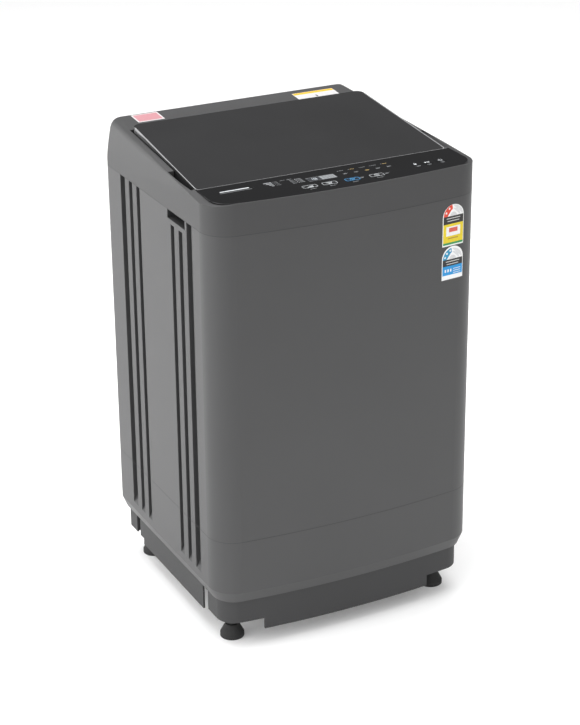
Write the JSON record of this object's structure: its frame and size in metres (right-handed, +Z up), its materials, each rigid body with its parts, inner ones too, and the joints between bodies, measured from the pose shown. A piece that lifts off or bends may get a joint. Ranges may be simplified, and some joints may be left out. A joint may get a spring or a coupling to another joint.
{
  "type": "top load washing machine",
  "caption": "Freestanding top load washing machine with a tinted glass lid, key panel, ribbed steel sides, hung tub, spin basket, pulsator and belt drive.",
  "frame": {"origin": "centre of the footprint on the floor, under the middle of the bounding box", "axes": "+Z up, front with the control panel towards -Y, +X to the right seen from the front"},
  "size_m": [0.54, 0.54, 0.9151],
  "materials": {
    "cabinet_steel": "satin titanium grey paint",
    "zinc_steel": "zinc plated",
    "rear_steel": "coated sheet",
    "grey_plastic": "matte",
    "screw_steel": "bright",
    "base_plastic": "matte",
    "cover_plastic": "satin",
    "pipe_plastic": "matte",
    "black_plastic": "satin",
    "fascia_film": "gloss",
    "blue_key": "gloss",
    "window_plastic": "gloss",
    "board": "matte",
    "white_plastic": "satin",
    "ring_plastic": "satin",
    "basket_steel": "brushed",
    "energy_print": "printed film",
    "water_print": "printed film",
    "foot_rubber": "matte",
    "tinted_glass": "dark tint",
    "cast_alloy": "cast",
    "motor_steel": "coated",
    "belt_rubber": "matte"
  },
  "bodies": {
    "case": {"cabinet": "cabinet_steel", "rod_brackets": "zinc_steel", "rear_panel": "rear_steel", "service_cover": "grey_plastic", "case_screws": "screw_steel", "base_frame": "base_plastic", "drain_pipe": "pipe_plastic", "cord_gland": "black_plastic", "top_cover": "cover_plastic", "control_fascia": "fascia_film", "display_window": "window_plastic", "control_board": "board", "hinge_pins": "screw_steel", "drawer_housing": "white_plastic", "inlet_valve": "white_plastic", "pressure_sensor": "white_plastic", "suspension_rods": "screw_steel", "energy_label": "energy_print", "water_label": "water_print"},
    "foot_fl": {"foot_front_left": "foot_rubber"},
    "foot_fr": {"foot_front_right": "foot_rubber"},
    "foot_rl": {"foot_rear_left": "foot_rubber"},
    "foot_rr": {"foot_rear_right": "foot_rubber"},
    "lid": {"lid_frame": "black_plastic", "lid_glass": "tinted_glass"},
    "key_level": {"level_key": "fascia_film"},
    "key_process": {"process_key": "fascia_film"},
    "key_program": {"program_key": "blue_key"},
    "key_timer": {"timer_key": "fascia_film"},
    "key_start": {"start_key": "fascia_film"},
    "key_power": {"power_key": "fascia_film"},
    "drawer": {"detergent_drawer": "white_plastic"},
    "tub": {"outer_tub": "white_plastic", "tub_cover": "white_plastic", "drive_bracket": "zinc_steel", "clutch_housing": "cast_alloy", "shaft_bearings": "screw_steel", "tub_seal": "belt_rubber", "motor_stator": "motor_steel", "drive_belt": "belt_rubber", "drain_valve": "pipe_plastic", "drain_actuator": "black_plastic", "suspension_springs": "screw_steel", "drain_bellows": "belt_rubber", "pressure_hose": "belt_rubber"},
    "basket": {"basket_wall": "basket_steel", "basket_base": "ring_plastic", "balance_ring": "ring_plastic", "spin_shaft": "screw_steel", "brake_drum": "cast_alloy"},
    "agitator": {"pulsator": "ring_plastic", "wash_shaft": "screw_steel"},
    "drive": {"input_shaft": "screw_steel", "drive_pulley": "cast_alloy"},
    "planet_1": {"planet_gear_1": "white_plastic"},
    "planet_2": {"planet_gear_2": "white_plastic"},
    "planet_3": {"planet_gear_3": "white_plastic"},
    "motor": {"motor_rotor": "motor_steel"},
    "drain_pull": {"brake_pull": "screw_steel"},
    "brake": {"brake_lever": "screw_steel"}
  },
  "joints": [
    {"name": "lid_hinge", "type": "hinge", "parent": "case", "child": "lid", "pos_m": [0, 0.145, 0.90387], "axis": [-1, 0, 0], "range_deg": [0, 88]},
    {"name": "level_press", "type": "slide", "parent": "case", "child": "key_level", "axis": [0, 0, -1], "range_m": [0, 0.0012], "stiffness_N_per_m": 400},
    {"name": "process_press", "type": "slide", "parent": "case", "child": "key_process", "axis": [0, 0, -1], "range_m": [0, 0.0012], "stiffness_N_per_m": 400},
    {"name": "program_press", "type": "slide", "parent": "case", "child": "key_program", "axis": [0, 0, -1], "range_m": [0, 0.0012], "stiffness_N_per_m": 400},
    {"name": "timer_press", "type": "slide", "parent": "case", "child": "key_timer", "axis": [0, 0, -1], "range_m": [0, 0.0012], "stiffness_N_per_m": 400},
    {"name": "start_press", "type": "slide", "parent": "case", "child": "key_start", "axis": [0, 0, -1], "range_m": [0, 0.0012], "stiffness_N_per_m": 400},
    {"name": "power_press", "type": "slide", "parent": "case", "child": "key_power", "axis": [0, 0, -1], "range_m": [0, 0.0012], "stiffness_N_per_m": 400},
    {"name": "drawer_slide", "type": "slide", "parent": "case", "child": "drawer", "axis": [0, -1, 0], "range_m": [0, 0.07]},
    {"name": "foot_fl_height", "type": "slide", "parent": "case", "child": "foot_fl", "axis": [0, 0, -1], "range_m": [0, 0.012]},
    {"name": "foot_fr_height", "type": "slide", "parent": "case", "child": "foot_fr", "axis": [0, 0, -1], "range_m": [0, 0.012]},
    {"name": "foot_rl_height", "type": "slide", "parent": "case", "child": "foot_rl", "axis": [0, 0, -1], "range_m": [0, 0.012]},
    {"name": "foot_rr_height", "type": "slide", "parent": "case", "child": "foot_rr", "axis": [0, 0, -1], "range_m": [0, 0.012]},
    {"name": "tub_bounce", "type": "slide", "parent": "case", "child": "tub", "axis": [0, 0, 1], "range_m": [-0.012, 0.012], "stiffness_N_per_m": 10000, "springref_m": 0.02259, "deforming": ["suspension_springs", "drain_bellows", "pressure_hose"]},
    {"name": "basket_spin", "type": "hinge", "parent": "tub", "child": "basket", "pos_m": [0, -0.0125, 0.3], "axis": [0, 0, 1], "continuous": true},
    {"name": "drive_spin", "type": "hinge", "parent": "basket", "child": "drive", "pos_m": [0, -0.0125, 0.15], "axis": [0, 0, 1], "continuous": true},
    {"name": "agitator_spin", "type": "hinge", "parent": "basket", "child": "agitator", "pos_m": [0, -0.0125, 0.34], "axis": [0, 0, 1], "continuous": true},
    {"name": "planet_1_spin", "type": "hinge", "parent": "agitator", "child": "planet_1", "pos_m": [0, 0.0145, 0.21], "axis": [0, 0, 1], "continuous": true},
    {"name": "planet_2_spin", "type": "hinge", "parent": "agitator", "child": "planet_2", "pos_m": [-0.02338, -0.026, 0.21], "axis": [0, 0, 1], "continuous": true},
    {"name": "planet_3_spin", "type": "hinge", "parent": "agitator", "child": "planet_3", "pos_m": [0.02338, -0.026, 0.21], "axis": [0, 0, 1], "continuous": true},
    {"name": "motor_spin", "type": "hinge", "parent": "tub", "child": "motor", "pos_m": [0, 0.1275, 0.22], "axis": [0, 0, 1], "continuous": true},
    {"name": "drain_pull_slide", "type": "slide", "parent": "tub", "child": "drain_pull", "axis": [1, 0, 0], "range_m": [0, 0.01], "stiffness_N_per_m": 1500},
    {"name": "brake_swing", "type": "hinge", "parent": "tub", "child": "brake", "pos_m": [0.096, -0.0225, 0.252], "axis": [0, 0, 1], "range_deg": [-9.2, 0]}
  ],
  "couplings": [
    {"joint": "agitator_spin", "follows": "drive_spin", "ratio": 0.22222},
    {"joint": "planet_1_spin", "follows": "drive_spin", "ratio": -0.62222},
    {"joint": "planet_2_spin", "follows": "drive_spin", "ratio": -0.62222},
    {"joint": "planet_3_spin", "follows": "drive_spin", "ratio": -0.62222},
    {"joint": "motor_spin", "follows": "drive_spin", "ratio": 4},
    {"joint": "brake_swing", "follows": "drain_pull_slide", "rad_per_m": -15.9}
  ]
}
